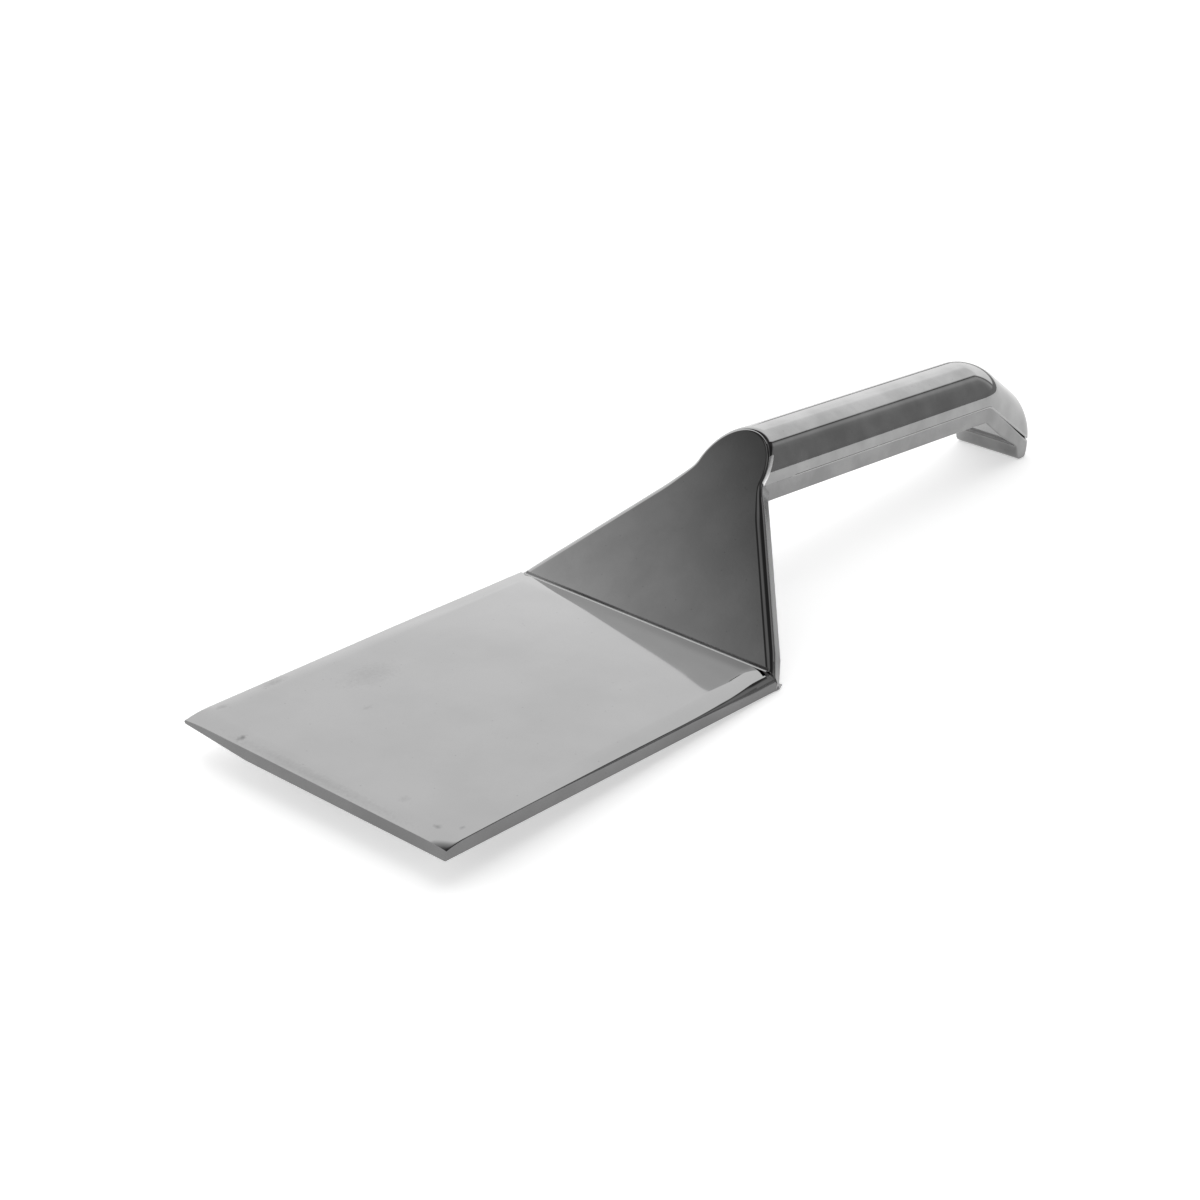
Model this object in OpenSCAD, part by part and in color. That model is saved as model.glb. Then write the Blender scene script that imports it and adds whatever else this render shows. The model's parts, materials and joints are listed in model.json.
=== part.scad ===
// Heavy one-hand tool: a bevelled flat blade, a riser plate that leans back to a
// keyhole-shaped neck, and a half-round handle on a flat strip that turns down into a foot.
// It stands on its heel and its foot, with the blade's front edge tipped up.

/* [Blade] */
// Width of the blade
blade_w = 100; // [90:1:120]
// Length of the blade from the heel to its front edge
blade_l = 140; // [110:1:170]
// Thickness of the blade plate
plate_t = 6.3; // [5:0.1:8]
// Radius of the soft shoulder along each long edge
shoulder_r = 3; // [1:0.1:4]
// Length of the bevel that thins the blade toward its front edge
bevel_l = 10; // [4:0.5:20]
// Height of the front edge
edge_t = 3.4; // [2:0.1:4.5]

/* [Riser] */
// Thickness of the riser plate
riser_t = 6.8; // [5:0.1:8]
// Lean of the riser back from upright
riser_lean = 45; // [35:1:50]
// Distance up the riser from the inner crease to the handle's seam
riser_l = 52; // [45:1:60]
// Width of the riser where the handle's seam meets it
neck_w = 26.6; // [26:0.1:32]

/* [Handle] */
// Width of the handle, which is the diameter of its half-round crown
handle_w = 25.6; // [22:0.1:26]
// Length of the straight part, from the riser's front face to the middle of its bend
handle_l = 130; // [110:1:150]
// Downward slope of the handle from the blade's plane
handle_slope = 2.7; // [0:0.1:5]
// Thickness of the flat strip under the crown
strip_t = 5.6; // [4:0.1:7]

/* [Foot] */
// Angle that the foot turns down from the handle
foot_bend = 31; // [25:1:35]
// Distance along the ground from the heel to the foot's end face
foot_reach = 193.5; // [185:0.5:198]
// Length of the flat sole that the foot stands on
sole_l = 7; // [4:0.5:9]
// Tip of the blade when the tool stands on its heel and its foot
tip = 3.5; // [3:0.1:4]

/* [Welds] */
// Leg of the fillet along the inner crease
crease_leg = 1.2; // [0.8:0.1:2]
// Leg of the weld that makes the heel's corner
heel_leg = 1.8; // [1:0.1:3]
// Depth of the heel weld along the mitre
heel_depth = 3; // [2:0.1:4]
// Depth behind the riser's front face at which the neck weld starts
neck_weld_w = 1; // [0.5:0.1:2]
// Leg of the fillet between the strip and the riser's back
strip_leg = 3; // [2:0.5:5]
// Half width of the brazed seam along each side of the handle
seam_half = 0.6; // [0.4:0.1:1]

/* [Hidden] */
$fn = 96;

big = 400;
half_w = blade_w / 2;
crown_r = handle_w / 2;
// Inner crease, above the heel's bottom edge at the origin
crease_x = -(riser_t - plate_t * sin(riser_lean)) / cos(riser_lean);
// Where the riser's back face meets the heel, measured along the riser from the crease
heel_s = -crease_x * sin(riser_lean) - plate_t * cos(riser_lean);
// Handle's seam on the riser's front face
seam_x = crease_x + riser_l * sin(riser_lean);
seam_z = plate_t + riser_l * cos(riser_lean);
// Corner between the strip's underside and the riser's back face
under_x = seam_x - strip_t * sin(handle_slope);
under_z = seam_z - strip_t * cos(handle_slope);
under_run = (under_z * tan(riser_lean) - under_x)
            / (cos(handle_slope) + sin(handle_slope) * tan(riser_lean));
corner_x = under_x + under_run * cos(handle_slope);
corner_z = under_z - under_run * sin(handle_slope);
// The seam on the ground frame: its start at the riser, and its bend into the foot
ground_slope = tip + handle_slope;
foot_fall = ground_slope + foot_bend;
start_x = seam_x * cos(tip) + seam_z * sin(tip);
start_z = seam_z * cos(tip) - seam_x * sin(tip);
bend_x = start_x + handle_l * cos(ground_slope);
bend_z = start_z - handle_l * sin(ground_slope);
// The foot's sole, and the short inner face that rises from it to the strip's underside
sole_inner_x = foot_reach - sole_l;
sole_rise_x = sole_inner_x - 2.5;
sole_rise_z = bend_z - strip_t / cos(foot_fall) - (sole_rise_x - bend_x) * tan(foot_fall);
seam_end_z = bend_z - (foot_reach - bend_x) * tan(foot_fall);

// Points at a height above the seam, at its start, at its bend and beyond the foot's end
function seam_start(up, back) = [start_x - back * cos(ground_slope) + up * sin(ground_slope),
                                 start_z + back * sin(ground_slope) + up * cos(ground_slope)];
function seam_bend(up) = [bend_x + up * sin(ground_slope + foot_bend / 2) / cos(foot_bend / 2),
                          bend_z + up * cos(ground_slope + foot_bend / 2) / cos(foot_bend / 2)];
function seam_end(up, on) = [bend_x + on * cos(foot_fall) + up * sin(foot_fall),
                             bend_z - on * sin(foot_fall) + up * cos(foot_fall)];
// Half height of the neck's lobe, up the riser
lobe_h = crown_r / sin(90 - riser_lean + handle_slope);
lobe_steps = 24;
// Middle of the whole tool along the ground
middle_x = (foot_reach - blade_l * cos(tip)) / 2;

steel = [0.62, 0.62, 0.63];
dark_steel = [0.42, 0.42, 0.43];
bead = [0.78, 0.76, 0.72];

// Frames -----------------------------------------------------------------

// Moves the ground frame's origin from the heel to the middle of the tool
module centred() { translate([-middle_x, 0, 0]) children(); }

// From the blade's own frame, with the heel's bottom edge at X = 0 and Z = 0, to the ground
module tipped() { rotate([0, tip, 0]) children(); }

// X runs through the riser from its front face, Z runs up it from the crease
module in_riser() { tipped() translate([crease_x, 0, plate_t]) rotate([0, riser_lean, 0]) children(); }

// X runs along the straight handle, or down the foot, with Z = 0 on the seam
module in_handle() { translate([start_x, 0, start_z]) rotate([0, ground_slope, 0]) children(); }
module in_foot() { translate([bend_x, 0, bend_z]) rotate([0, foot_fall, 0]) children(); }

// An outline drawn in X and Z, extruded across the tool
module across(width) { rotate([90, 0, 0]) linear_extrude(height = width, center = true) children(); }

// An outline drawn across and up, extruded both ways along X
module along() { rotate([90, 0, 90]) linear_extrude(height = 2 * big, center = true) children(); }

// Everything with X between two values
module slab(from, to) { translate([from, -big, -big]) cube([to - from, 2 * big, 2 * big]); }

module behind_riser() { in_riser() slab(riser_t, big); }

// The foot is ground flat underneath and square at its end
module foot_limit() { translate([0, -big, 0]) cube([foot_reach, 2 * big, big]); }

// Sections ---------------------------------------------------------------

// The crown's round top, carried down past the seam
module arch() {
    circle(r = crown_r);
    translate([-crown_r, -big]) square([handle_w, big]);
}

module below_seam() {
    across(handle_w + 2) polygon([seam_start(0, 60), seam_bend(0), seam_end(0, 60),
                                  seam_end(-60, 60), seam_bend(-60), seam_start(-60, 60)]);
}

// The strip of braze along one edge of the seam
module seam_bar(side) {
    translate([0, side * (crown_r - seam_half / 2), 0]) across(seam_half)
        polygon([seam_start(seam_half, 60), seam_bend(seam_half), seam_end(seam_half, 60),
                 seam_end(-seam_half, 60), seam_bend(-seam_half), seam_start(-seam_half, 60)]);
}

module both_seam_bars() {
    seam_bar(1);
    seam_bar(-1);
}

// The V that the heel weld fills, at the outside of the plates' mitre
module heel_groove() {
    mitre_l = sqrt(crease_x * crease_x + plate_t * plate_t);
    tipped() across(blade_w) polygon([[0, 0], [-heel_leg, 0],
        [crease_x / mitre_l * heel_depth, plate_t / mitre_l * heel_depth],
        [heel_leg * sin(riser_lean), heel_leg * cos(riser_lean)]]);
}

// Blade and riser ---------------------------------------------------------

module blade_section() {
    flat_w = half_w - shoulder_r;
    translate([-half_w, 0]) square([blade_w, plate_t - shoulder_r]);
    translate([-flat_w, 0]) square([2 * flat_w, plate_t]);
    for (side = [-1, 1]) translate([side * flat_w, plate_t - shoulder_r]) circle(r = shoulder_r);
}

module blade_plate() {
    color(steel) centred() difference() {
        tipped() intersection() {
            across(blade_w) polygon([[-blade_l, 0], [0, 0], [crease_x, plate_t],
                                     [bevel_l - blade_l, plate_t], [-blade_l, edge_t]]);
            along() blade_section();
        }
        heel_groove();
    }
}

// Where a round bar of the crown's size comes out through the plate's front face
module lobe_outline() {
    polygon([for (i = [-lobe_steps:lobe_steps])
        [crown_r * cos(i * 90 / lobe_steps),
         riser_l + lobe_h * sin(i * 90 / lobe_steps)]]);
    polygon([for (i = [-lobe_steps:lobe_steps])
        [-crown_r * cos(i * 90 / lobe_steps),
         riser_l + lobe_h * sin(i * 90 / lobe_steps)]]);
}

module riser_taper() {
    polygon([[-half_w, heel_s - 1], [half_w, heel_s - 1], [half_w, 0],
             [neck_w / 2, riser_l], [-neck_w / 2, riser_l], [-half_w, 0]]);
}

module riser_plate() {
    color(dark_steel) centred() difference() {
        union() {
            in_riser() intersection() {
                across(blade_w) polygon([[0, 0], [riser_t, heel_s], [riser_t, riser_l], [0, riser_l]]);
                along() riser_taper();
            }
            in_riser() translate([riser_t / 2, 0, 0]) rotate([90, 0, 90])
                linear_extrude(height = riser_t, center = true) lobe_outline();
        }
        heel_groove();
    }
}

module heel_weld() { color(bead) centred() heel_groove(); }

module crease_fillet() {
    color(bead) centred() tipped() across(blade_w - 2 * shoulder_r)
        polygon([[crease_x, plate_t], [crease_x - crease_leg, plate_t],
                 [crease_x + crease_leg * sin(riser_lean), plate_t + crease_leg * cos(riser_lean)]]);
}

// Handle and foot -----------------------------------------------------------

// The notch between the lobe's square edge and the round bar's skin
module neck_notch() {
    difference() {
        intersection() {
            in_handle() along() intersection() {
                circle(r = crown_r);
                translate([-big, 0]) square([2 * big, big]);
            }
            in_riser() slab(neck_weld_w, riser_t);
        }
        in_riser() along() lobe_outline();
        in_riser() along() riser_taper();
        both_seam_bars();
    }
}

module handle_crown() {
    color(steel) centred() difference() {
        intersection() {
            in_handle() along() arch();
            in_foot() along() arch();
            behind_riser();
            foot_limit();
        }
        below_seam();
        both_seam_bars();
    }
}

module handle_strip() {
    color(dark_steel) centred() difference() {
        intersection() {
            across(handle_w) polygon([seam_start(0, 40), seam_bend(0), [foot_reach, seam_end_z],
                                      [foot_reach, 0], [sole_inner_x, 0], [sole_rise_x, sole_rise_z],
                                      seam_bend(-strip_t), seam_start(-strip_t, 40)]);
            behind_riser();
        }
        both_seam_bars();
    }
}

module neck_weld() { color(bead) centred() neck_notch(); }

module strip_weld() {
    color(bead) centred() tipped() across(handle_w - 2)
        polygon([[corner_x, corner_z],
                 [corner_x + strip_leg * cos(handle_slope), corner_z - strip_leg * sin(handle_slope)],
                 [corner_x - strip_leg * sin(riser_lean), corner_z - strip_leg * cos(riser_lean)]]);
}

module seam_braze(side) {
    color(bead) centred() intersection() {
        seam_bar(side);
        behind_riser();
        foot_limit();
    }
}

blade_plate();
riser_plate();
heel_weld();
crease_fillet();
handle_crown();
handle_strip();
neck_weld();
strip_weld();
seam_braze(1);  // left_seam_braze
seam_braze(-1);  // right_seam_braze
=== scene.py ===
import json
import math
import bpy
import bmesh
from mathutils import Matrix, Vector

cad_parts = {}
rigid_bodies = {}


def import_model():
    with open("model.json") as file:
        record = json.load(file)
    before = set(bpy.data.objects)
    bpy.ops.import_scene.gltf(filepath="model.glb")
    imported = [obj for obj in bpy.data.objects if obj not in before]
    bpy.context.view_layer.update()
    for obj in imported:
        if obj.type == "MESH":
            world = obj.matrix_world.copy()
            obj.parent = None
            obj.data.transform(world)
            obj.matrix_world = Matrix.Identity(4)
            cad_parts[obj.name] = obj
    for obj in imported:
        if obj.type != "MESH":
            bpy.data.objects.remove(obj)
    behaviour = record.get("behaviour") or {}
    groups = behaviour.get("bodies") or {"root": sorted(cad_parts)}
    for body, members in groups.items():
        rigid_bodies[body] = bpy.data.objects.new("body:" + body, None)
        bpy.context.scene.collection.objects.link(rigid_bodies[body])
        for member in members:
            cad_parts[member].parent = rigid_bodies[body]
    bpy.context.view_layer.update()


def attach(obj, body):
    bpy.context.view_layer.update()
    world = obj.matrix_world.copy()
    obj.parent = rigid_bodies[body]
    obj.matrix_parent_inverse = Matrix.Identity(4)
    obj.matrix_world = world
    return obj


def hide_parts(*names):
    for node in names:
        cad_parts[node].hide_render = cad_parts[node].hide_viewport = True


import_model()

# ---------------------------------------------------------------- sizes, in millimetres
# The blade's own frame has the heel's bottom edge at X = 0 and Z = 0. The ground frame is
# that frame tipped by TIP, and the model's frame is the ground frame moved by MID.
MM = 0.001
TIP = math.radians(3.5)
BLADE_W, BLADE_L, PLATE_T = 100.0, 140.0, 6.3
HALF = BLADE_W / 2
RISER_T, LEAN, RISER_L = 6.8, math.radians(45), 52.0
NECK_HALF = 13.3         # half the riser's width where its lobe starts
MITRE_ROWS = 6           # the riser's outline is pressed towards the mitre below this height
BACK_R = 0.8             # rounding of the riser's back edge
R, STRIP_T, HANDLE_L = 12.8, 5.6, 130.0
SLOPE, BEND = math.radians(2.7), math.radians(31.0)
REACH = 193.5            # from the heel to the end of the CAD handle
END_X = REACH - 0.02     # the upright end face, just inside the CAD box
END_R = 3.4              # rounding of the foot's end
SPREAD = 1.9             # how much faster than concentric the bend's radius grows up the crown
CROWN_START = 1.7        # depth in the riser's plate where the crown starts
STRIP_START = 2.5        # depth in the riser's plate where the strip starts
END_TURN = 1.9           # how far the crown's end turns over into its upright face
END_MID = 9.0            # height that the crown's end turns towards
STRIP_EDGE = 0.45        # rounding of the strip's long edges

MID = (REACH - BLADE_L * math.cos(TIP)) / 2
CREASE_X = -(RISER_T - PLATE_T * math.sin(LEAN)) / math.cos(LEAN)
HEEL_S = -CREASE_X * math.sin(LEAN) - PLATE_T * math.cos(LEAN)
G = TIP + SLOPE          # slope of the straight handle on the ground
FALL = G + BEND          # slope of the foot on the ground
LIFT = STRIP_T + 1.6     # radius of the seam round the bend
T0 = HANDLE_L - LIFT * math.tan(BEND / 2)
T1 = T0 + LIFT * BEND
# the angle between the handle's axis and the riser's plate
PHI = math.acos(math.sin(LEAN) * math.cos(SLOPE) - math.cos(LEAN) * math.sin(SLOPE))
LOBE = R / math.sin(PHI)                    # half height of the lobe, up the plate
# angles round the crown, from one seam over the top to the other
ANG = [math.radians(-90 + 180 * i / 72) for i in range(73)]


def tipped(x, z):
    return x * math.cos(TIP) + z * math.sin(TIP), -x * math.sin(TIP) + z * math.cos(TIP)


START = tipped(CREASE_X + RISER_L * math.sin(LEAN), PLATE_T + RISER_L * math.cos(LEAN))


def ground(x, y, z):
    return ((x - MID) * MM, y * MM, z * MM)


def blade(x, y, z):
    gx, gz = tipped(x, z)
    return ground(gx, y, gz)


def riser(d, y, s):
    """d goes through the plate from its front face, s up the plate from the crease."""
    return blade(CREASE_X + s * math.sin(LEAN) + d * math.cos(LEAN), y,
                 PLATE_T + s * math.cos(LEAN) - d * math.sin(LEAN))


def smooth(a, b, v):
    t = min(1.0, max(0.0, (v - a) / (b - a)))
    return t * t * (3 - 2 * t)


def quarter(i, n):
    """The angle i steps of n into a quarter turn."""
    return math.pi / 2 * i / n


def bezier(p0, p1, p2, q):
    return p0 * (1 - q) ** 2 + p1 * 2 * q * (1 - q) + p2 * q * q


# ---------------------------------------------------------------- mesh helpers
def add_object(name, data):
    ob = bpy.data.objects.new(name, data)
    bpy.context.scene.collection.objects.link(ob)
    return ob


def add_mesh(name, verts, faces, mats):
    me = bpy.data.meshes.new(name)
    me.from_pydata([tuple(v) for v in verts], [], faces)
    for m in mats:
        me.materials.append(m)
    return me


def mark_sharp(bm):
    """Edges that bend by more than this many degrees stay sharp, sooner beside an end cap."""
    at_cap, elsewhere, cap_corners = 14, 38, 8
    for e in bm.edges:
        if len(e.link_faces) == 2:
            beside_cap = any(len(f.verts) > cap_corners for f in e.link_faces)
            if e.calc_face_angle() > math.radians(at_cap if beside_cap else elsewhere):
                e.smooth = False


def piece(name, rings, mats, node, weighted=True):
    """A closed piece lofted through rings, which stands for a CAD node."""
    me = add_mesh(name, *loft(rings), mats)
    for p in me.polygons:
        p.use_smooth = True
    bm = bmesh.new()
    bm.from_mesh(me)
    bmesh.ops.remove_doubles(bm, verts=bm.verts, dist=2e-6)
    bmesh.ops.recalc_face_normals(bm, faces=bm.faces)
    mark_sharp(bm)
    bm.to_mesh(me)
    bm.free()
    ob = add_object(name, me)
    if weighted:
        w = ob.modifiers.new("normals", "WEIGHTED_NORMAL")
        w.weight = 60
        w.keep_sharp = True
    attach(ob, "root")
    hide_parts(node)
    return ob


def loft(rings):
    """Vertices and faces of a closed skin through rings of equal length, with a cap at each end."""
    n = len(rings[0])
    verts = [p for ring in rings for p in ring]
    faces = []
    for i in range(len(rings) - 1):
        for j in range(n):
            k = (j + 1) % n
            faces.append((i * n + j, i * n + k, (i + 1) * n + k, (i + 1) * n + j))
    faces.append(tuple(range(n - 1, -1, -1)))
    faces.append(tuple(range((len(rings) - 1) * n, len(rings) * n)))
    return verts, faces


def second_material(ob, chosen):
    """Gives the piece's second material to the faces that chosen(face) picks."""
    for p in ob.data.polygons:
        if chosen(p):
            p.material_index = 1


# ---------------------------------------------------------------- shader helpers
def add_node(nt, kind, values=None, **settings):
    """A new node with its settings made and the values of its named inputs set."""
    node = nt.nodes.new("ShaderNode" + kind)
    for name, setting in settings.items():
        setattr(node, name, setting)
    for socket, value in (values or {}).items():
        node.inputs[socket].default_value = value
    return node


def add_math(nt, operation, *terms):
    """Result of a Math node. Each term is a number or another node's output."""
    node = add_node(nt, "Math", operation=operation)
    for socket, term in zip(node.inputs, terms):
        if isinstance(term, (int, float)):
            socket.default_value = term
        else:
            nt.links.new(term, socket)
    return node.outputs["Value"]


def stretch(nt, value, lo, hi, to_lo=0.0, to_hi=1.0):
    """A value mapped from lo..hi to to_lo..to_hi, and held at both ends."""
    node = add_node(nt, "MapRange", {"From Min": lo, "From Max": hi, "To Min": to_lo, "To Max": to_hi})
    nt.links.new(value, node.inputs["Value"])
    return node.outputs["Result"]


def grey_ramp(nt, fac, stops):
    """Grey through stops of (position, brightness)."""
    node = add_node(nt, "ValToRGB")
    elements = node.color_ramp.elements
    while len(elements) < len(stops):
        elements.new(0.5)
    for element, (position, value) in zip(elements, stops):
        element.position = position
        element.color = (value, value, value, 1)
    nt.links.new(fac, node.inputs["Fac"])
    return node.outputs["Color"]


def mix_colours(nt, kind, a, b, fac=1.0):
    node = add_node(nt, "Mix", data_type="RGBA", blend_type=kind)
    if isinstance(fac, float):
        node.inputs[0].default_value = fac
    else:
        nt.links.new(fac, node.inputs[0])
    nt.links.new(a, node.inputs[6])
    nt.links.new(b, node.inputs[7])
    return node.outputs[2]


def new_material(name):
    m = bpy.data.materials.new(name)
    m.use_nodes = True
    return m


# ---------------------------------------------------------------- materials
def add_mark(nt, place_in, wobble, colour, mark):
    """Darkens the colour round one mark: its centre, two half sizes in millimetres, and how much."""
    centre, half_x, half_y, dark = mark
    deep = 0.01
    place = add_node(nt, "Mapping", vector_type="TEXTURE")
    place.inputs["Location"].default_value = centre
    place.inputs["Scale"].default_value = (half_x * MM, half_y * MM, deep)
    nt.links.new(place_in, place.inputs["Vector"])
    far = add_node(nt, "VectorMath", operation="LENGTH")
    nt.links.new(place.outputs["Vector"], far.inputs[0])
    ragged = add_math(nt, "MULTIPLY_ADD", wobble, 1.1, far.outputs["Value"])
    fade = stretch(nt, ragged, 0.6, 1.4, 1 - dark, 1.0)
    return mix_colours(nt, "MULTIPLY", colour, fade)


def polished(name, tone, rough, smudge, seed, grain=34.0, patch=1.9, marks=()):
    """Polished steel: clouding in its tone and gloss, fine scratches in its bump, and single marks.

    smudge is the clouding's depth in the tone, patch how much rougher the cloudiest places are."""
    m = new_material(name)
    nt = m.node_tree
    bsdf = nt.nodes["Principled BSDF"]
    bsdf.inputs["Metallic"].default_value = 1.0
    co = add_node(nt, "TexCoord")
    shift = add_node(nt, "Mapping", {"Location": (seed, seed * 1.7, seed * 0.6)})
    nt.links.new(co.outputs["Object"], shift.inputs["Vector"])

    clouds = add_node(nt, "TexNoise", {"Scale": grain, "Detail": 5.0, "Roughness": 0.55})
    nt.links.new(shift.outputs["Vector"], clouds.inputs["Vector"])
    fine = add_node(nt, "TexNoise", {"Scale": 900.0, "Detail": 3.0})
    nt.links.new(shift.outputs["Vector"], fine.inputs["Vector"])
    # scratches run along X
    streak_map = add_node(nt, "Mapping", {"Scale": (40.0, 1500.0, 1500.0)})
    nt.links.new(shift.outputs["Vector"], streak_map.inputs["Vector"])
    streak = add_node(nt, "TexNoise", {"Scale": 1.0, "Detail": 2.0})
    nt.links.new(streak_map.outputs["Vector"], streak.inputs["Vector"])
    spots = add_node(nt, "TexVoronoi", {"Scale": 260.0})
    nt.links.new(shift.outputs["Vector"], spots.inputs["Vector"])

    spot = stretch(nt, spots.outputs["Distance"], 0.03, 0.075, 0.80, 1.0)
    dark, light = tone * (1 - smudge), tone * (1 + smudge * 0.6)
    tint = grey_ramp(nt, clouds.outputs["Fac"], [(0.36, dark), (0.62, light)])
    colour = mix_colours(nt, "MULTIPLY", tint, spot)
    for mark in marks:
        colour = add_mark(nt, co.outputs["Object"], fine.outputs["Fac"], colour, mark)
    nt.links.new(colour, bsdf.inputs["Base Color"])

    gloss = stretch(nt, clouds.outputs["Fac"], 0.35, 0.70, rough, rough * patch)
    nt.links.new(gloss, bsdf.inputs["Roughness"])

    scratches = add_math(nt, "MULTIPLY_ADD", streak.outputs["Fac"], 0.25, fine.outputs["Fac"])
    bump = add_node(nt, "Bump", {"Strength": 0.05, "Distance": 0.00002})
    nt.links.new(scratches, bump.inputs["Height"])
    nt.links.new(bump.outputs["Normal"], bsdf.inputs["Normal"])
    return m


# smudges, corner wear, dark spots and a darker strip along the front edge
BLADE_MARKS = [
    (blade(-87, 32, 5.5), 13, 8, 0.11),
    (blade(-109, 48, 5), 7, 2.5, 0.22),
    (blade(-129, 47, 4.5), 3, 1.5, 0.2),
    (blade(-137, 30, 4), 2.5, 1.5, 0.45),
    (blade(-130, -25, 4.8), 3, 2, 0.10),
    (blade(-134, -41, 4.4), 1.6, 1.6, 0.30),
    (blade(-130, -46, 4.4), 1.6, 1, 0.26),
    (blade(-101, 18, 5), 2.5, 1.5, 0.12),
    (blade(-138, 0, 4), 3, 44, 0.13),
]
blade_mat = polished("polished_blade", 0.300, 0.035, smudge=0.035, seed=1.3, marks=BLADE_MARKS)
# the blade's side and front faces: a darker, rougher tone, painted shade for the shadowed floor that they
# mirror
edge_shade_mat = polished("edge_painted_shade", 0.185, 0.16, smudge=0.10, seed=2.1)
# the riser's side edges: a still darker tone, painted shade for the dark surroundings and shadowed floor
# that they mirror
rim_shade_mat = polished("rim_painted_shade", 0.145, 0.14, smudge=0.10, seed=2.9)
riser_mat = polished("polished_riser", 0.300, 0.035, smudge=0.07, seed=3.7, grain=60.0)
handle_mat = polished("polished_handle", 0.290, 0.022, smudge=0.13, seed=5.2, grain=75.0, patch=4.5)
# the strip's tone, darker than the crown's, is painted shade for the shadowed floor under the handle that
# it mirrors
strip_shade_mat = polished("polished_strip_painted_shade", 0.245, 0.07, smudge=0.13, seed=6.4, grain=95.0, patch=2.5)
# the welds' tone, lighter than the plates', is partly a painted highlight that brightens the crease
# fillet's thin light line
weld_mat = polished("polished_weld", 0.36, 0.16, smudge=0.12, seed=8.8)
# a near-white tone for the near side of the neck bead: a painted highlight
highlight_mat = polished("weld_painted_highlight", 0.85, 0.30, smudge=0.05, seed=9.1)


# ---------------------------------------------------------------- blade
def corner_radius(x):
    """Radius of the blade's long top edges: tight along the blade, wide at the heel."""
    return 0.28 + 0.7 * smooth(-108, -65, x) + 1.1 * smooth(-42, -18, x) + 2.2 * smooth(-24, -4, x)


def shoulder_drop(x):
    """How far the top falls away towards each long edge, before its corner."""
    return 0.12 + 1.4 * smooth(-125, -15, x) - 0.5 * smooth(-20, -3, x)


def top_height(x, y):
    """The top thins towards the front, ends in a bevel, and is dubbed over at both front corners."""
    u = x + BLADE_L
    h = PLATE_T - 0.0160 * max(0.0, -5 - x) - 0.6 * (1 - min(1.0, u / 7.0)) ** 1.8
    for side, run, length, drop in ((1, 9.0, 9.0, 0.4), (-1, 8.0, 7.0, 0.3)):
        w = HALF - side * y
        if w < run and u < length:
            h -= drop * (1 - w / run) ** 1.4 * (1 - u / length) ** 1.4
    return h


def lift_under(x, y):
    """The left front corner is worn up from below, to a point."""
    run, length, lift = 14, 12, 2.1
    u, w = x + BLADE_L, HALF - y
    if w > run or u > length:
        return 0.0
    return lift * (1 - w / run) ** 1.6 * (1 - u / length) ** 1.6


def blade_half(x, side):
    """One half of the section at x, from the middle of the underside to the middle of the top."""
    reach = 5.5
    d, r = shoulder_drop(x), corner_radius(x)
    if side > 0:
        # the far shoulder is smaller
        d, r = 0.1 + 0.3 * smooth(-60, -10, x), 0.5
    slope = math.atan(2 * d / reach)
    cy = HALF - r
    y1 = cy + r * math.sin(slope)
    edge = top_height(x, side * y1) - d
    r = min(r, 0.8 * (edge - 0.3))
    cy = HALF - r
    y1 = cy + r * math.sin(slope)
    cz = edge - r * math.cos(slope)
    low = min(0.4, cz * 0.5)
    pts = [(0.0, 0.0), (HALF * 0.5, 0.0), (HALF - low, 0.0), (HALF - low * 0.3, low * 0.3), (HALF, low)]
    for i in range(11):
        a = (math.pi / 2 - slope) * i / 10
        pts.append((cy + r * math.cos(a), cz + r * math.sin(a)))
    for i in range(1, 11):
        v = 1 - i / 10
        y = y1 - reach * (1 - v)
        pts.append((y, top_height(x, side * y) - d * v * v))
    y0 = y1 - reach
    for f in (0.94, 0.87, 0.8, 0.7, 0.6, 0.45, 0.3, 0.15, 0.0):
        pts.append((y0 * f, top_height(x, side * y0 * f)))
    return pts


def blade_ring(t):
    x = -BLADE_L + t * BLADE_L
    right, left = blade_half(x, -1), blade_half(x, 1)
    ring = [(-y, z) for y, z in right] + [(y, z) for y, z in reversed(left[1:-1])]
    out = []
    for y, z in ring:
        if z < 1.0:
            z += lift_under(x, y)
        bx = -BLADE_L + t * (BLADE_L + CREASE_X * z / PLATE_T)
        out.append(blade(bx, y, z))
    return out


def make_blade():
    """Sections stand close together at the front edge and towards the heel."""
    stations = [i / 280 for i in range(36)]
    stations += [0.13, 0.14, 0.15, 0.17, 0.2, 0.25, 0.3, 0.36, 0.42, 0.48, 0.54, 0.6, 0.66]
    stations += [0.7 + 0.3 * i / 30 for i in range(31)]
    ob = piece("blade", [blade_ring(t) for t in stations], [blade_mat, edge_shade_mat],
               "blade_plate")
    # the side and front faces take the darker tone of painted shade
    second_material(ob, lambda p: abs(p.normal.y) > 0.8 or p.normal.x < -0.7)


# ---------------------------------------------------------------- riser
def riser_half():
    """Right half of the plate's outline from the crease up to the lobe's top, as (y, s)."""
    taper = (HALF - NECK_HALF) / RISER_L
    pts = [(HALF - taper * s, float(s)) for s in range(int(RISER_L))]
    for i in range(61):
        a = math.radians(90 * i / 60)
        pts.append((R * math.cos(a), RISER_L + LOBE * math.sin(a)))
    # soften the inner corner at the neck
    passes, near = 14, 5
    for _ in range(passes):
        new = list(pts)
        for i in range(1, len(pts) - 1):
            if abs(pts[i][1] - RISER_L) < near:
                new[i] = ((pts[i - 1][0] + 2 * pts[i][0] + pts[i + 1][0]) / 4,
                          (pts[i - 1][1] + 2 * pts[i][1] + pts[i + 1][1]) / 4)
        pts = new
    return pts


RIGHT = riser_half()
OUTLINE = [(-y, s) for y, s in RIGHT] + [(y, s) for y, s in reversed(RIGHT[:-1])]
LAST = len(OUTLINE) - 1


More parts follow.
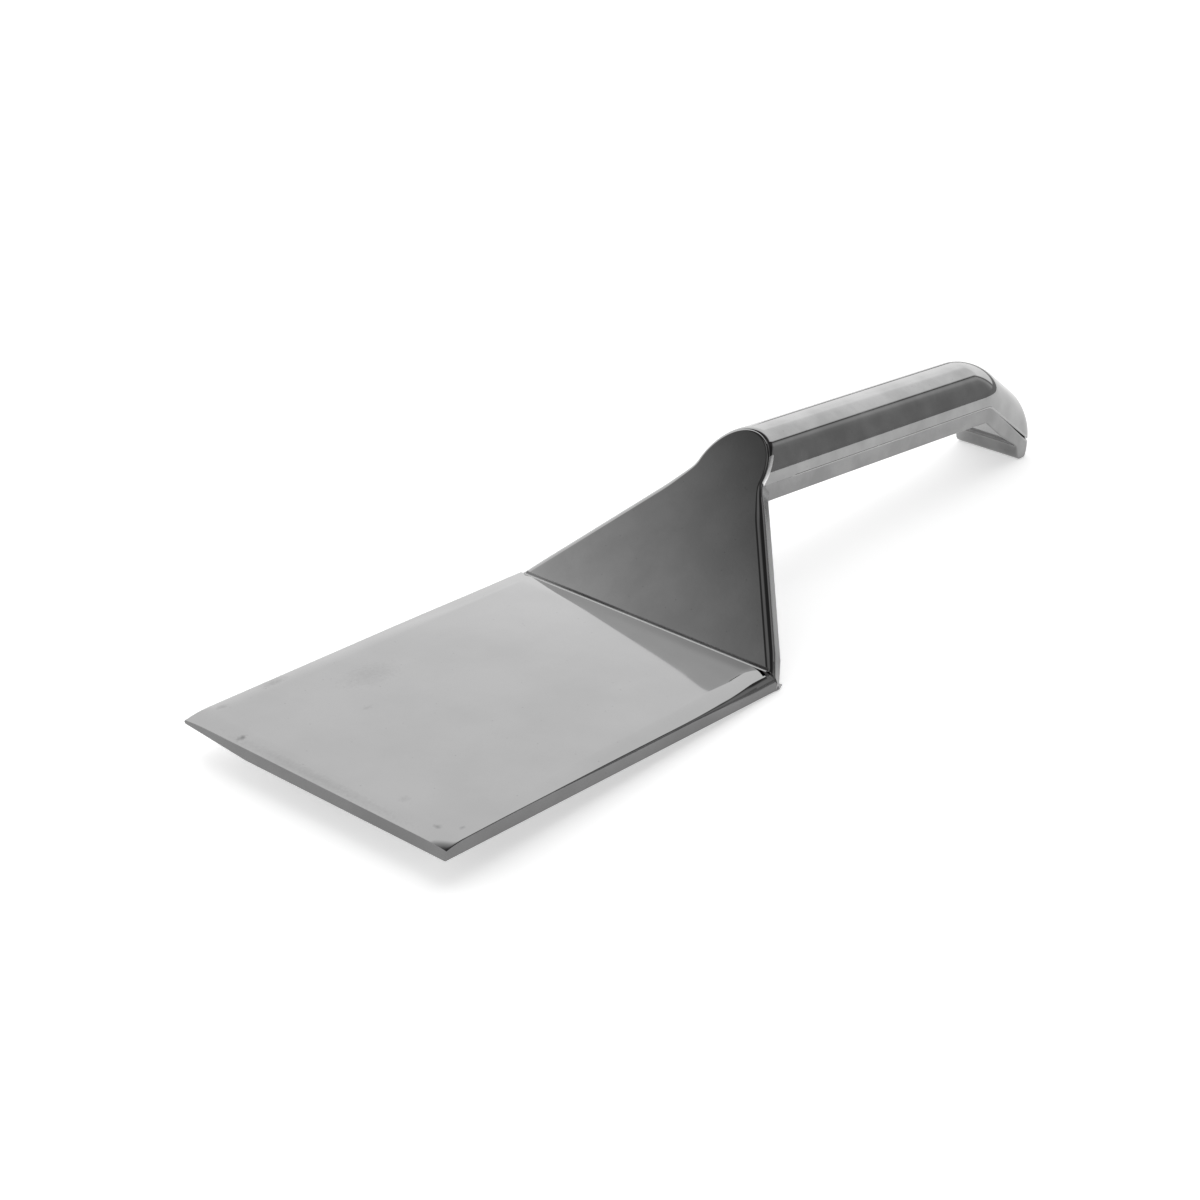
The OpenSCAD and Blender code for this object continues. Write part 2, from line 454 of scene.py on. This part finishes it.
def inset(k):
    """The outline's inward direction at a point, for the rounding."""
    y0, s0 = OUTLINE[max(k - 1, 0)]
    y1, s1 = OUTLINE[min(k + 1, LAST)]
    dy, ds = y1 - y0, s1 - s0
    d = math.hypot(dy, ds)
    return ds / d, -dy / d


def plate_ring(depth_at, cut_at, rows=math.inf):
    """One loop of the plate. Its depth, and how far it is drawn in, depend on the height s.

    Its lowest points follow the mitre's slope, where the outline is below rows."""
    ring = []
    for k, (y, s) in enumerate(OUTLINE):
        depth, cut = depth_at(s), cut_at(s)
        iy, is_ = inset(k)
        yy, ss = y + iy * cut, s + is_ * cut
        if k in (0, LAST):
            yy, ss = math.copysign(HALF - cut, y), 0.0
        if ss < MITRE_ROWS and s < rows:
            low = HEEL_S * depth / RISER_T
            ss = low + ss * (MITRE_ROWS - low) / MITRE_ROWS
        ring.append(riser(depth, yy, ss))
    return ring


def front_round(s):
    """Radius of the front edge, which is smaller round the lobe."""
    return 2.6 - 1.5 * smooth(42, 56, s)


def front_ring(a):
    return plate_ring(lambda s: front_round(s) * (1 - math.cos(a)),
                      lambda s: front_round(s) * (1 - math.sin(a)))


def side_ring(depth):
    return plate_ring(lambda s: depth, lambda s: 0.0, MITRE_ROWS)


def back_ring(a):
    return plate_ring(lambda s: RISER_T - BACK_R + BACK_R * math.sin(a),
                      lambda s: BACK_R * (1 - math.cos(a)), MITRE_ROWS)


def make_riser():
    rings = [front_ring(quarter(i, 8)) for i in range(9)]
    rings += [side_ring(depth) for depth in (3.5, 4.6)]
    rings += [back_ring(quarter(i, 4)) for i in range(5)]
    ob = piece("riser", rings, [riser_mat, rim_shade_mat], "riser_plate")
    # the side edges take the darker tone of painted shade
    second_material(ob, lambda p: abs(p.normal.y) > 0.75)


# ---------------------------------------------------------------- handle
def along(t, y, up):
    """t runs along the straight handle from the riser's front face, then round the bend."""
    if t <= T0:
        x = START[0] + t * math.cos(G) + up * math.sin(G)
        z = START[1] - t * math.sin(G) + up * math.cos(G)
        return x, y, z
    cx = START[0] + T0 * math.cos(G) - LIFT * math.sin(G)
    cz = START[1] - T0 * math.sin(G) - LIFT * math.cos(G)
    if t <= T1:
        a = G + (t - T0) / LIFT
        return cx + (LIFT + up) * math.sin(a), y, cz + (LIFT + up) * math.cos(a)
    past = t - T0 - LIFT * BEND
    ex = cx + LIFT * math.sin(FALL)
    ez = cz + LIFT * math.cos(FALL)
    return (ex + past * math.cos(FALL) + up * math.sin(FALL), y,
            ez - past * math.sin(FALL) + up * math.cos(FALL))


def start_t(a, depth):
    """Where the crown's line at this angle meets the plate's plane at a depth."""
    return depth / math.sin(PHI) + R * math.cos(a) / math.tan(PHI)


def end_t(a):
    """Where the crown's line at this angle meets the upright end face."""
    x0, _, _ = along(T1, 0, R * math.cos(a))
    return T1 + (END_X - x0) / math.cos(FALL)


def crown_point(a, part, f):
    """A point of the crown's skin: straight handle, bend or foot, f of the way along that part."""
    u, y = R * math.cos(a), R * math.sin(a)
    t_in = T0 - (SPREAD - 1) * u * math.tan(BEND / 2)
    r = LIFT + SPREAD * u
    if part == "straight":
        t = start_t(a, CROWN_START) * (1 - f) + t_in * f
        x, _, z = along(t, 0, u)
        return x, y, z
    x0, _, z0 = along(t_in, 0, u)
    cx, cz = x0 - r * math.sin(G), z0 - r * math.cos(G)
    phi = G + BEND * (f if part == "bend" else 1.0)
    x, z = cx + r * math.sin(phi), cz + r * math.cos(phi)
    if part == "foot":
        go = f * (END_X - x) / math.cos(FALL)
        x, z = x + go * math.cos(FALL), z - go * math.sin(FALL)
    return x, y, z


def crown_ring(part, f):
    return [ground(*crown_point(a, part, f)) for a in ANG]


def crown_end_ring(q, turn_from):
    """A ring of the rounded end, q of the way from the foot's skin over into the upright face."""
    ring = []
    for a in ANG:
        p0 = Vector(crown_point(a, "foot", turn_from))
        p1 = Vector(crown_point(a, "foot", 1.0))
        inward = Vector((0, -p1.y, max(END_MID - p1.z, -END_MID) * min(1.0, 1.6 * math.cos(a))))
        inward.normalize()
        ring.append(ground(*bezier(p0, p1, p1 + inward * END_TURN, q)))
    return ring


def make_crown():
    turn_from = 0.78
    straight = (0.0, 0.02, 0.06, 0.12, 0.25, 0.4, 0.55, 0.7, 0.85, 0.94, 0.98, 1.0)
    rings = [crown_ring("straight", f) for f in straight]
    rings += [crown_ring("bend", i / 20) for i in range(1, 21)]
    rings += [crown_ring("foot", f) for f in (0.2, 0.4, 0.6, turn_from)]
    rings += [crown_end_ring(i / 8, turn_from) for i in range(1, 9)]
    piece("handle_crown_bar", rings, [handle_mat], "handle_crown")


# The foot's sole and hollow inner face, from the end up to the strip's underside, as ground X and Z.
SOLE_AND_HOLLOW = [(189.0, 0.0), (188.0, 0.0), (187.0, 0.2), (186.1, 0.8), (185.5, 1.7), (185.1, 3.2),
                   (184.8, 4.6), (184.3, 5.7), (183.4, 6.6), (182.0, 7.6), (179.5, 9.2), (176.5, 11.2),
                   (173.5, 13.3), (171.0, 15.2)]


def strip_side():
    """The strip under the crown, drawn from the side: along the seam, round the end and back."""
    seam = [start_t(math.pi / 2, STRIP_START), T0]
    seam += [T0 + (T1 - T0) * i / 8 for i in range(1, 9)]
    seam.append(end_t(math.pi / 2))
    top = [along(t, 0, 0) for t in seam]
    end_h = 4.6
    end = [(END_X - END_R + END_R * math.cos(quarter(i, 6)), end_h - end_h * math.sin(quarter(i, 6)))
           for i in range(7)]
    last = T1 + 1.5
    back = [last - (last - T0 + 1.0) * i / 8 for i in range(9)]
    back.append(start_t(math.pi / 2, STRIP_START) - STRIP_T / math.tan(PHI))
    under = [along(t, 0, -STRIP_T) for t in back]
    return [(p[0], p[2]) for p in top] + end + SOLE_AND_HOLLOW + [(p[0], p[2]) for p in under]


SIDE = strip_side()


def strip_ring(y, cut):
    """The side outline at y, drawn in by cut except at its two points in the riser."""
    ring = []
    for k, (x, z) in enumerate(SIDE):
        x0, z0 = SIDE[k - 1]
        x1, z1 = SIDE[(k + 1) % len(SIDE)]
        a = Vector((x - x0, z - z0))
        b = Vector((x1 - x, z1 - z))
        a.normalize()
        b.normalize()
        t = a + b
        t.normalize()
        nx, nz = t.y, -t.x     # the outline runs clockwise, so this points inward
        keep = 0.0 if k in (0, len(SIDE) - 1) else cut
        px, pz = x + nx * keep, z + nz * keep
        # the corners of the upright end are rounded in plan
        turn = END_R - max(0.0, R - abs(y))
        if px > REACH - END_R and turn > 0:
            in_by = END_R - math.sqrt(max(0.0, END_R ** 2 - turn ** 2))
            px -= in_by * min(1.0, (px - REACH + END_R) / END_R) * 0.8
        ring.append(ground(px, y, pz))
    return ring


def make_strip():
    edge = [(R - STRIP_EDGE * (1 - math.cos(quarter(i, 4))), STRIP_EDGE * (1 - math.sin(quarter(i, 4))))
            for i in range(5)]
    flat = [(y, 0.0) for y in (11.6, 11.0, 10.2, 9.4)]
    rings = [strip_ring(-y, cut) for y, cut in edge + flat]
    rings += [strip_ring(y, cut) for y, cut in reversed(edge + flat)]
    piece("handle_strip_bar", rings, [strip_shade_mat], "handle_strip")


# ---------------------------------------------------------------- welds and brazes
def make_neck_weld():
    """Fills the notch above the plate's edge, from the lobe's face to the crown's skin."""
    in_from_rim, highlight_from = 0.45, math.sin(math.radians(52))
    rings = []
    for i in range(8):
        ring = []
        for a in ANG:
            p0 = Vector(riser(0.42, (R - in_from_rim) * math.sin(a),
                              RISER_L + (LOBE - in_from_rim) * math.cos(a)))
            p1 = Vector(ground(*along(start_t(a, 0.35), R * math.sin(a), R * math.cos(a))))
            p2 = Vector(ground(*along(start_t(a, 1.75), R * math.sin(a), R * math.cos(a))))
            ring.append(bezier(p0, p1, p2, i / 7))
        rings.append(ring)
    ob = piece("neck_weld_bead", rings, [handle_mat, highlight_mat], "neck_weld")
    # the near side of the bead gets a near-white tone, a painted highlight for the white line that it
    # mirrors
    second_material(ob, lambda p: p.center.y < -R * MM * highlight_from and len(p.vertices) == 4)


def make_crease_fillet():
    """A thin concave strip in the inner corner between blade and riser."""
    leg, clear = 0.9, 0.01
    rings = []
    for i in range(41):
        y = (HALF - 2.6) * (-1 + 2 * i / 40)
        p0 = Vector(blade(CREASE_X - leg, y, PLATE_T + clear))
        p1 = Vector(blade(CREASE_X, y, PLATE_T + clear))
        p2 = Vector(riser(-clear, y, leg))
        rings.append([blade(CREASE_X, y, PLATE_T)] + [bezier(p0, p1, p2, j / 6) for j in range(7)])
    piece("crease_fillet_bead", rings, [weld_mat], "crease_fillet", weighted=False)


def seam_ring(t, side, r):
    """A round section of a seam's bead, which follows the rounded corner of the foot's end."""
    past = max(0.0, along(t, 0, 0)[0] - (REACH - END_R))
    turn = END_R - math.sqrt(END_R ** 2 - past ** 2)
    ring = []
    for j in range(10):
        a = math.pi * j / 5
        ring.append(ground(*along(t, side * (R - 0.40 - turn + r * math.cos(a)), r * math.sin(a))))
    return ring


def make_seams():
    """Thin beads along both joint lines between crown and strip."""
    bead_r, tip_r, short_by = 0.50, 0.12, 1.4
    first = start_t(math.pi / 2, RISER_T)
    seam_end = T1 + (REACH - short_by - along(T1, 0, 0)[0]) / math.cos(FALL)
    stops = [first + (T0 - first) * i / 12 for i in range(13)]
    stops += [T0 + (T1 - T0) * i / 6 for i in range(1, 7)]
    stops += [T1 + (seam_end - T1) * i / 12 for i in range(1, 13)]
    radii = [tip_r] + [bead_r] * (len(stops) - 2) + [tip_r]
    for side, name in ((1, "left_seam"), (-1, "right_seam")):
        rings = [seam_ring(t, side, r) for t, r in zip(stops, radii)]
        piece(name + "_bead", rings, [weld_mat], name + "_braze", weighted=False)


def finish_cad_welds():
    """These two CAD nodes keep their shape and get the weld's material."""
    for node in ("heel_weld", "strip_weld"):
        for o in bpy.data.objects:
            if o.name == node or o.name.startswith(node + "."):
                o.data.materials.clear()
                o.data.materials.append(weld_mat)


make_blade()
make_riser()
make_crown()
make_strip()
make_neck_weld()
make_crease_fillet()
make_seams()
finish_cad_welds()


# ---------------------------------------------------------------- floor, light and camera
def floor():
    """A round sheet of pale paper, just under the tool, with a little light of its own."""
    corners, size, height = 64, 6.0, -0.00002
    m = new_material("floor_paper")
    nt = m.node_tree
    b = nt.nodes["Principled BSDF"]
    noise = add_node(nt, "TexNoise", {"Scale": 3.0})
    nt.links.new(grey_ramp(nt, noise.outputs["Fac"], [(0, 0.93), (1, 0.95)]), b.inputs["Base Color"])
    b.inputs["Roughness"].default_value = 0.9
    b.inputs["Specular IOR Level"].default_value = 0.1
    b.inputs["Emission Color"].default_value = (1, 1, 1, 1)
    b.inputs["Emission Strength"].default_value = 0.42
    verts = [(0, 0, height)]
    for i in range(corners):
        a = 2 * math.pi * i / corners
        verts.append((size * math.cos(a), size * math.sin(a), height))
    faces = [(0, 1 + i, 1 + (i + 1) % corners) for i in range(corners)]
    add_object("floor", add_mesh("floor", verts, faces, [m]))


def world():
    """A pale studio sweep behind the tool, with its right edge and its top edge, and a darker room."""
    w = bpy.data.worlds.new("studio")
    bpy.context.scene.world = w
    w.use_nodes = True
    nt = w.node_tree
    nt.nodes.clear()
    out = add_node(nt, "OutputWorld")
    # the ramps hold a tenth of the real brightness, to stay inside their range
    background = add_node(nt, "Background", {"Strength": 10.0})
    nt.links.new(background.outputs[0], out.inputs[0])
    co = add_node(nt, "TexCoord")
    direction = add_node(nt, "SeparateXYZ")
    nt.links.new(co.outputs["Generated"], direction.inputs[0])
    x, y, z = (direction.outputs[axis] for axis in "XYZ")
    el = add_math(nt, "MULTIPLY", add_math(nt, "ARCSINE", z), 180 / math.pi)
    az = add_math(nt, "MULTIPLY", add_math(nt, "ARCTAN2", y, x), 180 / math.pi)

    def by_angle(angle, limit, stops):
        """Brightness through stops of (degrees, value), for an angle from -limit to limit."""
        places = [((degrees + limit) / (limit + limit), value) for degrees, value in stops]
        return grey_ramp(nt, stretch(nt, angle, -limit, limit), places)

    # the sweep, by height
    up = by_angle(el, 90, [(-90, .11), (0, .120), (4, .142), (12, .158), (20, .168), (22, .175), (25, .147),
                           (29, .145), (42.5, .148), (44.7, .108), (45.8, .084), (47, .064), (48.5, .050),
                           (49.6, .035), (50.8, .018), (52.5, .009), (60, .006), (70, .006), (76, .030),
                           (90, .030)])
    # the room, by direction: right of the sweep's edge, and the side where the camera stands
    room = by_angle(az, 180, [(-180, .085), (-68, .085), (-52, .038), (-24, .038), (-18, .044),
                              (-13.5, .070), (-10.0, .066), (-8.8, .020), (-6.8, .018), (150, .018),
                              (160, .085), (180, .085)])
    # how much of the room's brightness is left with height
    high = by_angle(el, 90, [(-90, 1), (31, 1), (37, .12), (70, .12), (76, .35), (90, .35)])
    # 1 where the sweep is, 0 in the room
    in_sweep = by_angle(az, 180, [(-180, 0), (-6.2, 0), (-5.4, 1), (146, 1), (168, 0), (180, 0)])
    studio = mix_colours(nt, "MIX", mix_colours(nt, "MULTIPLY", room, high), up, in_sweep)
    # the camera itself sees a plain backdrop
    path = add_node(nt, "LightPath")
    plain = add_node(nt, "RGB")
    plain.outputs[0].default_value = (.12, .12, .12, 1)
    seen = mix_colours(nt, "MIX", studio, plain.outputs[0], path.outputs["Is Camera Ray"])
    nt.links.new(seen, background.inputs["Color"])


def flag():
    """A low dark curved card off to the right, for the polished handle to mirror."""
    middle_x, distance, width, height, curve, steps = 0.073, 0.51, 1.3, 0.05, 0.9, 12
    m = new_material("dark_card")
    nt = m.node_tree
    glow = add_node(nt, "Emission", {"Color": (0.36, 0.36, 0.36, 1)})
    nt.links.new(glow.outputs[0], nt.nodes["Material Output"].inputs["Surface"])
    a = math.radians(-37)
    middle = Vector((middle_x + distance * math.cos(a), distance * math.sin(a), 0))
    outward = Vector((math.cos(a), math.sin(a), 0))
    side = Vector((-math.sin(a), math.cos(a), 0))
    pts = []
    for k in range(steps + 1):
        q = (k / steps - 0.5) * width
        pts.append(middle + side * q - outward * (q * q * curve))
    verts = [tuple(p) for p in pts] + [(p.x, p.y, height) for p in pts]
    top = steps + 1
    faces = [(i, i + 1, top + i + 1, top + i) for i in range(steps)]
    o = add_object("dark_card", add_mesh("dark_card", verts, faces, [m]))
    o.visible_camera = False
    o.visible_diffuse = False
    o.visible_shadow = False


def softbox(name, az, el, dist, size, power):
    """A large soft light that doesn't show in the polished metal."""
    d = bpy.data.lights.new(name, "AREA")
    d.shape = "RECTANGLE"
    d.size, d.size_y = size
    d.energy = power
    o = add_object(name, d)
    a, e = math.radians(az), math.radians(el)
    pos = Vector((math.cos(a) * math.cos(e), math.sin(a) * math.cos(e), math.sin(e))) * dist
    o.location = pos
    o.rotation_euler = (-pos).to_track_quat("-Z", "Y").to_euler()
    o.visible_glossy = False


def camera(place, yaw, pitch, roll, lens):
    """place is in the ground frame in millimetres, the angles are in degrees."""
    cam = bpy.data.cameras.new("camera")
    cam.sensor_width = 36.0
    cam.sensor_height = 36.0
    cam.sensor_fit = "HORIZONTAL"
    cam.lens = lens
    cam.clip_start, cam.clip_end = 0.01, 30
    yaw, pitch, roll = math.radians(yaw), math.radians(pitch), math.radians(roll)
    forward = Vector((math.cos(yaw) * math.cos(pitch), math.sin(yaw) * math.cos(pitch), -math.sin(pitch)))
    right = Vector((math.sin(yaw), -math.cos(yaw), 0))
    up = right.cross(forward)
    rolled_right = right * math.cos(roll) + up * math.sin(roll)
    rolled_up = up * math.cos(roll) - right * math.sin(roll)
    m = Matrix((rolled_right, rolled_up, -forward)).transposed().to_4x4()
    m.translation = Vector(ground(*place))
    co = add_object("camera", cam)
    co.matrix_world = m
    bpy.context.scene.camera = co


floor()
world()
flag()
softbox("overhead", az=42, el=80, dist=2.6, size=(3.0, 3.0), power=32.0)
camera((-525.66, -431.53, 362.73), yaw=40.62, pitch=27.28, roll=0.55, lens=76.2735)
bpy.context.scene.view_settings.view_transform = "Standard"
bpy.context.scene.view_settings.look = "None"
